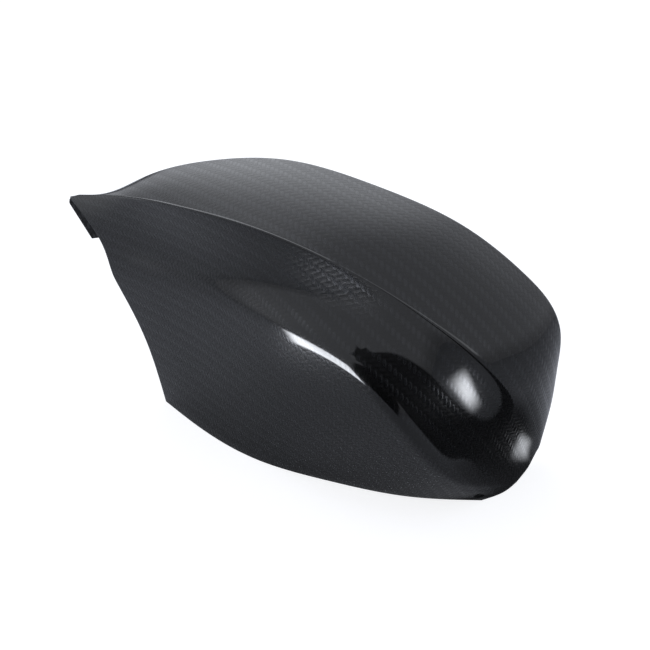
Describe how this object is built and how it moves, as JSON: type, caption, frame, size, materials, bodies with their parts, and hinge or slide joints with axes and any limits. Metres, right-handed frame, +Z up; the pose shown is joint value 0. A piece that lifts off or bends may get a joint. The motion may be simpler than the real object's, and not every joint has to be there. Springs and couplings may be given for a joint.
{
  "type": "wing mirror cover",
  "caption": "Thin moulded wing mirror cover with a sharp upper ridge, a scooped front, a rounded lower crest and an inward rear flange.",
  "frame": {"origin": "middle of the cap's length and depth, on the plane of its lower edge", "axes": "+X outboard along the cap's length, away from the car; +Y to the rear of the car, out of the mirror opening; +Z up"},
  "size_m": [0.247, 0.0789, 0.128],
  "materials": {
    "carbon_laminate": "black twill-weave carbon fibre under a clear gloss lacquer"
  },
  "bodies": {
    "root": {"cover_shell": "carbon_laminate"}
  },
  "joints": []
}
